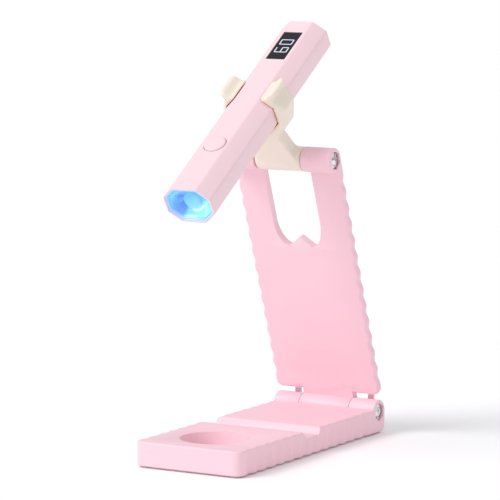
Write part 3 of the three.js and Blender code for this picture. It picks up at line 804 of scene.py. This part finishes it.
def finger_lip(side):
    """A lip that flares outwards from an arm's end, with its own ends rounded in plan like a thumb pad."""
    inner = [(7.3, 10.2), (8.6, 7.4), (12.6, 7.4), (13.5, 8.7)]
    outer = [(lip_reach, 11.3), (lip_reach, 12.3), (15.2, 13.1), (13.2, 13.3), (9.7, 10.25)]
    lip = bar([(side * x, y) for x, y in inner + outer], -cradle_tail, -cradle_head)
    x0, x1 = sorted((side * 5, side * lip_reach))
    pad = [(x, -station) for x, station in rounded_rectangle(x0, x1, cradle_head, cradle_tail, 3.4, 10)]
    standing = bar(pad, 0, 20, Matrix.Rotation(math.pi / 2, 4, "X") @ Matrix.Scale(-1, 4, (0, 0, 1)))
    return fitted(lip, "INTERSECT", [standing])


def clip_body():
    """Barrel, stem, cradle and lips fused and rounded as one moulding, then cut for the lamp and the bolt."""
    axis_y, axis_station = clip_barrel.y, -clip_barrel.z
    stem = hull(both_sides([
        (9, -14.2, -cradle_head - 2.1),
        (7.2, -14.2, -cradle_tail + 3.9),
        (12, axis_y + 1.7, 6 - axis_station),
        (12, axis_y - 1.5, 4.1 - axis_station),
        (8.2, axis_y + 6, -axis_station - 1.9),
        (8.2, axis_y + 2.9, -axis_station - 4.9),
    ]))
    barrel_half = min(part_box("lamp_clip")[1].x / MM, window_half - 0.5)
    hinge_rod = rod(barrel, -barrel_half, barrel_half, (axis_y, -axis_station))
    body = fitted(cradle(), "UNION", [finger_lip(1), finger_lip(-1), stem, hinge_rod])
    melted(body, 0.5, 34)
    bed = bar(octagon(-bed_gap), -cradle_tail - 5, -cradle_head + 5)
    mouth = block(-mouth_half, mouth_half, 4, 20, -cradle_tail - 5, -cradle_head + 5)
    bore = rod(bolt_bore, -20, 20, (axis_y, -axis_station), 64)
    return fitted(body, "DIFFERENCE", [bed, mouth, bore])


def melted(piece, voxel, passes):
    """Rounds a fused shape all over, as a moulding with generous fillets has."""
    grid = piece.modifiers.new("grid", "REMESH")
    grid.mode = "VOXEL"
    grid.voxel_size = voxel
    ease = piece.modifiers.new("ease", "SMOOTH")
    ease.factor = 0.5
    ease.iterations = passes
    settle(piece)
    piece.data.shade_smooth()
    return piece


def lamp_nearness(piece):
    """Stores how near each point is to the lamp, from 1 where they touch to 0 at two millimetres off, to
    place a painted glow.
    """
    facets = [Vector(p) for p in octagon()]
    painted_glow = piece.data.attributes.new("painted_glow", "FLOAT", "POINT")
    for i, vertex in enumerate(piece.data.vertices):
        spot = vertex.co.xy
        reach = 0
        for a, b in zip(facets, facets[1:] + facets[:1]):
            out = Vector((a.y - b.y, b.x - a.x)).normalized()
            out = out if out.dot(a) > 0 else -out
            reach = max(reach, out.dot(spot - a))
        painted_glow.data[i].value = max(0.0, 1 - max(0.0, reach - 0.4) / 1.6)
    return piece


# The peach tint near the lamp is a painted warm glow, light passing through the cream plastic and bouncing
# off the lamp.
clip_cream = moulded("clip_cream", (0.86, 0.785, 0.69), (0.87, 0.76, 0.655), 0.38, painted_glow=(0.86, 0.56, 0.36))
clip = lamp_nearness(melted(clip_body(), 0.36, 5))
finished(clip, "clip_moulding", "clip", clip_cream, ["lamp_clip"], lamp_frame)

# ---- Lamp shell ----
# An octagonal tube, moulded and painted a very pale satin pink, open at both ends, with a round hole for the
# button and a slot for the display on its front face.

wall = 1.5
button_station = 36
button_radius = 5.6
display_station = 118
display_length = 23.3
display_width = 10.8
lens_rim = 0.6
lens_seat = 1.8
fit_gap = 0.3
LYING = Matrix.Rotation(-math.pi / 2, 4, "X")


def up_post(radius, y0, y1, station):
    """A round bar that stands out of the lamp's front face."""
    return bar(circle(radius), y0, y1, Matrix.Translation((0, 0, -station)) @ LYING)


def front_slab(outline, y0, y1):
    """A slab on the lamp's front face, its outline given as (x, station)."""
    return bar(outline, y0, y1, LYING)


def display_outline(inset, radius):
    """The display's slot, drawn in by that much."""
    x, reach = display_width / 2 - inset, display_length / 2 - inset
    return rounded_rectangle(-x, x, display_station - reach, display_station + reach, radius, 3)


def shell_body():
    tube = bar(octagon(0, 0.9), -lamp_length, 0)
    return fitted(tube, "DIFFERENCE", [
        bar(octagon(wall), -lamp_length - 1, 1),
        bar(octagon(lens_rim), -lens_seat, 1),
        up_post(button_radius + fit_gap, 5, 15, button_station),
        front_slab(display_outline(0, 0.5), 5, 15),
    ])


satin_coat = {"Coat_Weight": 0.15, "Coat_Roughness": 0.3}
lamp_pink = moulded("lamp_pink", (0.90, 0.665, 0.715), (0.91, 0.65, 0.70), 0.34, 0.000008, **satin_coat)
shell = softened(shell_body(), 0.32, 3, 40)
finished(shell, "lamp_tube", "lamp", lamp_pink, ["lamp_shell"], lamp_frame)

# ---- Button ----
# A round moulded cap, slightly domed, that stands one millimetre proud in its hole, with two tabs under the
# shell that keep it in.

button_top = 11
dome_radius = 5
dome_rise = 0.22
cap_hollow = 4.4
cap_floor = 9.25
tab_floor = 7.7
tab_reach = 7.4


def button_body():
    """A turned cap, hollow from below, with its two tabs."""
    easing = [1 - step / 4 for step in range(5)]
    dome = [(dome_radius * t, button_top - dome_rise * t * t) for t in easing]
    edge = [(button_radius, 10.4), (button_radius - 0.12, 10.6), (button_radius - 0.45, 10.72)]
    skirt = [(0, cap_floor), (cap_hollow, cap_floor), (cap_hollow, tab_floor), (button_radius, tab_floor)]
    cap = turned(skirt + edge + dome, Matrix.Translation((0, 0, -button_station)) @ LYING, 96)
    head_end, tail_end = tab_reach - button_station, -tab_reach - button_station
    tabs = block(-2.6, 2.6, tab_floor, tab_floor + 0.5, tail_end, head_end)
    fitted(cap, "UNION", [tabs])
    return fitted(cap, "DIFFERENCE", [up_post(cap_hollow, 3, cap_floor, button_station)])


button_pink = moulded("button_pink", (0.90, 0.665, 0.715), (0.91, 0.65, 0.70), 0.3, 0.000008)
button = softened(button_body(), 0.1, 2, 50)
finished(button, "button_dome", "button", button_pink, ["button_cap"], lamp_frame)

# ---- Display ----
# A smoked acrylic window, flush in its slot, over a lit two-digit counter. The digits read along the lamp,
# with their tops to the left.

digit_height = 7.2
digit_width = 4.3
stroke = 0.52
stroke_gap = 0.06
stroke_height = 0.04
window_span = {"under": 9.1, "face": 9.88}
digit_stations = {"6": display_station - 3.5, "0": display_station + 3.1}
SEGMENTS = {"6": "acdefg", "0": "abcdef"}


def segment_shapes():
    """The seven strokes of a digit as (centre x, centre y, runs across), in the digit's own plane."""
    half_w, half_h = (digit_width - stroke) / 2, (digit_height - stroke) / 2
    return {
        "a": (0, half_h, True), "b": (half_w, half_h / 2, False), "c": (half_w, -half_h / 2, False),
        "d": (0, -half_h, True), "e": (-half_w, -half_h / 2, False), "f": (-half_w, half_h / 2, False),
        "g": (0, 0, True),
    }


def lit_digits(face):
    """Pointed strokes just over the window's face, one mesh for both digits."""
    bm = bmesh.new()
    half = stroke / 2
    level_span = (digit_width - stroke) / 2 - stroke_gap
    standing_span = (digit_height - stroke) / 4 - stroke_gap
    for digit, station in digit_stations.items():
        for name in SEGMENTS[digit]:
            x, y, runs_across = segment_shapes()[name]
            span = level_span if runs_across else standing_span
            tip = span + half * 0.6
            outline = [(tip, 0), (span, half), (-span, half), (-tip, 0), (-span, -half), (span, -half)]
            if not runs_across:
                outline = [(v, u) for u, v in outline]
            corners = [(-(y + v), station + x + u) for u, v in outline]
            rings = [[(a, height, -b) for a, b in corners] for height in (face, face + stroke_height)]
            join_rings(bm, *rings)
    return stock(bm)


def smoked_acrylic(name):
    """Near-black acrylic with a faint haze."""
    finish = Finish(name, (0.008, 0.008, 0.011), 0.22, Specular_IOR_Level=0.18)
    haze = finish.noise(900, 3)
    finish.feed("Roughness", haze * 0.12 + 0.16)
    finish.feed("Base Color", finish.blend(haze, (0.006, 0.006, 0.009, 1), (0.012, 0.012, 0.018, 1)))
    return finish.material


def lit_white(name, colour, strength):
    """A lit stroke of the counter."""
    finish = Finish(name, colour, 0.4, Emission_Color=(*colour, 1), Emission_Strength=strength)
    finish.feed("Roughness", finish.noise(1400, 2) * 0.2 + 0.3)
    return finish.material


window = front_slab(display_outline(fit_gap, 0.4), window_span["under"], window_span["face"])
display_black = smoked_acrylic("display_black")
softened(window, 0.12, 2)
finished(window, "display_glass", "lamp", display_black, ["display_window"], lamp_frame)
digits = lit_digits(window_span["face"])
digit_white = lit_white("digit_white", (0.70, 0.70, 0.90), 0.25)
finished(digits, "display_digits", "lamp", digit_white, [], lamp_frame)

# ---- Lamp optics ----
# Behind a clear window sits a metallised reflector with eight facets and stepped rings, round a clear domed
# emitter on its white board. All of it is lit blue-violet.

lens_span = {"near": 0.3, "far": 1.5}
reflector_span = {"near": 2.1, "far": 10.6}
throat_radius = 5.7
cup_steps = 3
emitter = {"radius": 4.7, "shoulder": 4.2, "foot": 4.1, "step": 3.7, "crown": 2.15}


def stations(outline, near, far):
    """A bar along the lamp between two distances from its head."""
    return bar(outline, -far, -near)


def in_lamp(finish):
    """Places across the lamp, right and forwards from its middle, in millimetres."""
    back = lamp_frame.inverted()
    sockets = {"Location": back.translation, "Rotation": back.to_euler(), "Scale": [1 / MM] * 3}
    place = finish.node("ShaderNodeMapping", {"vector_type": "POINT"}, {"Vector": finish.place(), **sockets})
    parts = finish.node("ShaderNodeSeparateXYZ", None, {"Vector": place}).socket.node.outputs
    return Signal(finish, parts["X"]), Signal(finish, parts["Y"])


def between(finish, value, low, high):
    """How far a value has come from one limit to another, held between 0 and 1."""
    return finish.node("ShaderNodeMapRange", None, {"Value": value, "From Min": low, "From Max": high})


def clear_window(name):
    """Clear polycarbonate: light runs along it and leaves at its rim, with a glare low on the face."""
    finish = Finish(name, (0.10, 0.42, 0.85), 0.04, IOR=1.49, Emission_Strength=0.7)
    x, y = in_lamp(finish)
    smear = finish.noise(160, 2)
    side, rise = finish.maths("ABSOLUTE", x), finish.maths("ABSOLUTE", y)
    inset = lens_rim + fit_gap
    flats = finish.maths("MAXIMUM", side - (half_width - inset), rise - (half_height - inset))
    slants = side * slant.x + rise * slant.y - (slant_reach - inset)
    to_edge = finish.maths("MAXIMUM", flats, slants)
    body = between(finish, to_edge, -3.2, -0.8)
    line = between(finish, finish.maths("ABSOLUTE", to_edge + 0.95), 0.45, 0.1)
    brim = between(finish, to_edge, -0.55, -0.2)
    across, down = (x + 1.2) * 0.16, (y + 8.4) * 0.34
    glare = between(finish, across * across + down * down, 1.0, 0.1)
    glow = finish.blend(between(finish, x - y, -4, 16), (0.20, 0.50, 0.88, 1), (0.45, 0.92, 0.97, 1))
    glow = finish.blend(glare, glow, (0.90, 1.0, 1.0, 1))
    glow = finish.blend(line * 0.75, glow, (0.03, 0.18, 0.48, 1))
    finish.feed("Emission Color", finish.blend(brim * 0.8, glow, (0.78, 0.93, 1.0, 1)))
    finish.feed("Alpha", body * 0.3 + glare * 0.4 + line * 0.2 + 0.1)
    finish.feed("Roughness", smear * 0.05 + 0.01)
    return finish.material


def glowing(name, base, roughness, metallic, strength):
    """A lit optic with painted light: blue at the upper left, cyan at the lower right, a violet pool on the
    left, and a painted highlight arc.
    """
    finish = Finish(name, base, roughness, Metallic=metallic, Emission_Strength=strength)
    x, y = in_lamp(finish)
    ripple = finish.noise(420, 3, 0.6)
    slope = between(finish, x * 0.9 - y * 1.3 + ripple * 5, -3, 17)
    wide = finish.blend(slope, (0.17, 0.47, 0.90, 1), (0.48, 0.95, 1.0, 1))
    aside, above = (x + 7.8) * 0.30, (y + 3.4) * 0.17
    pool = between(finish, aside * aside + above * above, 1.35, 0.5)
    deep = finish.blend(pool, wide, (0.11, 0.10, 0.88, 1))
    radius = finish.maths("SQRT", x * x + y * y)
    low_right = between(finish, x - y * 2, 3, 9)
    # A painted highlight: a pale arc round the emitter, low on the right.
    painted_highlight_arc = between(finish, finish.maths("ABSOLUTE", radius - 6.6), 0.5, 0.1) * low_right
    # A darker ring round the emitter's foot.
    foot = between(finish, finish.maths("ABSOLUTE", radius - 4.9), 0.5, 0.15)
    lit = finish.blend(painted_highlight_arc, deep, (0.85, 0.98, 1.0, 1))
    finish.feed("Emission Color", finish.blend(foot * 0.7, lit, (0.02, 0.10, 0.45, 1)))
    finish.feed("Roughness", ripple * 0.1 + roughness)
    return finish.material


def angle_of(point):
    return math.atan2(point[1], point[0])


def reflector_body():
    """Eight facets run in to the throat in three steps, each step a ledge that catches the light."""
    near, far = reflector_span["near"], reflector_span["far"]
    body = stations(octagon(wall + fit_gap), near, far)
    mouth = sorted(octagon(wall + 1.0), key=angle_of)
    throat = sorted(circle(throat_radius, (0, 0), 8, 22.5), key=angle_of)
    cups = []
    for i in range(cup_steps):
        start, end = i / cup_steps, (i + 1) / cup_steps
        ledge = 0.1 if i else 0
        outer = [tuple(Vector(m).lerp(Vector(t), start + ledge)) for m, t in zip(mouth, throat)]
        inner = [tuple(Vector(m).lerp(Vector(t), end)) for m, t in zip(mouth, throat)]
        z0 = near + (far - near) * start - 0.02 if i else near - 0.3
        z1 = near + (far - near) * end + (0.4 if i == cup_steps - 1 else 0)
        cups.append(hull([(x, y, -z0) for x, y in outer] + [(x, y, -z1) for x, y in inner]))
    return fitted(body, "DIFFERENCE", cups)


def emitter_body():
    """A clear dome on a stepped foot."""
    base, step, crown = reflector_span["far"], emitter["step"], emitter["crown"]
    turns = [math.radians(9 * i) for i in range(10)]
    dome = [(emitter["shoulder"] * math.cos(turn), step - (step - crown) * math.sin(turn)) for turn in turns]
    foot = [(0, base), (emitter["radius"], base), (emitter["radius"], emitter["foot"]), (4.55, step)]
    return turned([(radius, -station) for radius, station in foot + dome + [(0, crown)]])


lens_clear = clear_window("lens_clear")
lens = softened(stations(octagon(lens_rim + fit_gap, 0.3), lens_span["near"], lens_span["far"]), 0.35, 3)
finished(lens, "head_window", "lamp", lens_clear, ["lens"], lamp_frame)
reflector_mirror = glowing("reflector_mirror", (0.12, 0.32, 0.6), 0.16, 0.8, 0.85)
reflector = softened(reflector_body(), 0.15, 2, 12)
finished(reflector, "reflector_cup", "lamp", reflector_mirror, ["reflector"], lamp_frame)
led_dome = glowing("led_dome", (0.05, 0.22, 0.40), 0.06, 0.0, 0.75)
dome = softened(emitter_body(), 0.12, 2, 40)
finished(dome, "emitter_dome", "lamp", led_dome, ["led_emitter"], lamp_frame)

# ---- Tail cap and charging socket ----
# A moulded plug closes the rear of the tube, a little below its rim, with the mouth of a drawn-steel charging
# socket in its middle.

tail_depth = 0.5
plug_start = 131.5
hollow_end = 136.6
socket_span = {"near": 131.2, "far": 138.4}
socket_wall = 0.3
port_half_width = 4.47
port_half_height = 1.63


def port_outline(extra):
    """The socket's flat oval mouth, drawn out or in."""
    across, up = port_half_width + extra, port_half_height + extra
    return rounded_rectangle(-across, across, -up, up, up - 0.01, 10)


def tail_body():
    plug = stations(octagon(wall + fit_gap, 0.5), plug_start, lamp_length - tail_depth)
    hollow = stations(rounded_rectangle(-8.5, 8.5, -6, 6, 0.5, 3), plug_start - 1.5, hollow_end)
    port = stations(port_outline(fit_gap), plug_start - 1.5, lamp_length + 2)
    return fitted(plug, "DIFFERENCE", [hollow, port])


def socket_body():
    """A thin steel can, closed at its inner end, with a flat tongue inside."""
    near, far = socket_span["near"], socket_span["far"]
    can = stations(port_outline(0), near, far)
    fitted(can, "DIFFERENCE", [stations(port_outline(-socket_wall), near + 0.8, far + 1.6)])
    tongue = rounded_rectangle(-3.3, 3.3, -0.35, 0.35, 0.1, 2)
    return fitted(can, "UNION", [stations(tongue, near + 0.4, far - 0.8)])


plug = softened(tail_body(), 0.3)
finished(plug, "tail_plug", "lamp", lamp_pink, ["tail_cap"], lamp_frame)
socket_steel = plated_steel("socket_steel", (0.70, 0.71, 0.73), (0.45, 0.45, 0.47), 0.3)
socket = softened(socket_body(), 0.08, 2)
finished(socket, "charging_socket", "lamp", socket_steel, ["usb_c_socket"], lamp_frame)

# ---- Inner pieces ----
# The ballast, boards, switch, cell, tray and heat sink stay as the frame has them: each is plain sheet, board
# or turned stock that the casings hide, and each gets the finish of its own material.


def board_mask(name, colour, copper):
    """Glass-epoxy board: solder mask, with faint tracks of copper under it."""
    finish = Finish(name, colour, 0.4)
    lighter = [part * 1.25 for part in colour]
    tones = {"Color1": (*colour, 1), "Color2": (*lighter, 1), "Mortar": (*copper, 1)}
    sockets = {"Vector": finish.place(), "Scale": 420.0, "Mortar Size": 0.03, **tones}
    finish.feed("Base Color", finish.node("ShaderNodeTexBrick", None, sockets))
    finish.feed("Roughness", finish.noise(300, 2) * 0.2 + 0.3)
    return finish.material


def sheet_metal(name, colour, roughness, scale):
    """Rolled or cast metal with a mottled gloss."""
    finish = Finish(name, colour, roughness, Metallic=1.0)
    mottle = finish.noise(scale, 4, 0.65)
    finish.feed("Roughness", mottle * 0.3 + (roughness - 0.15))
    finish.relief(mottle, 0.3, 0.00003)
    return finish.material


board_green = board_mask("board_green", (0.02, 0.16, 0.07), (0.05, 0.30, 0.14))
black_plastic = moulded("black_plastic", (0.02, 0.02, 0.022), (0.035, 0.035, 0.037), 0.5)
inner_finishes = {
    "ballast_plate": sheet_metal("ballast_steel", (0.24, 0.24, 0.25), 0.5, 180),
    "led_board": board_mask("led_board_white", (0.78, 0.80, 0.82), (0.66, 0.68, 0.70)),
    "heat_sink": sheet_metal("sink_aluminium", (0.62, 0.63, 0.65), 0.35, 900),
    "main_board": board_green,
    "charge_board": board_green,
    "button_switch": black_plastic,
    "display_module": black_plastic,
    "battery_cell": sheet_metal("cell_foil", (0.55, 0.58, 0.62), 0.3, 260),
    "cell_tray": moulded("tray_white", (0.80, 0.80, 0.77), (0.76, 0.76, 0.73), 0.5),
}
for node_name, material in inner_finishes.items():
    inner = frame["nodes"][node_name]
    inner.data.materials.clear()
    inner.data.materials.append(material)
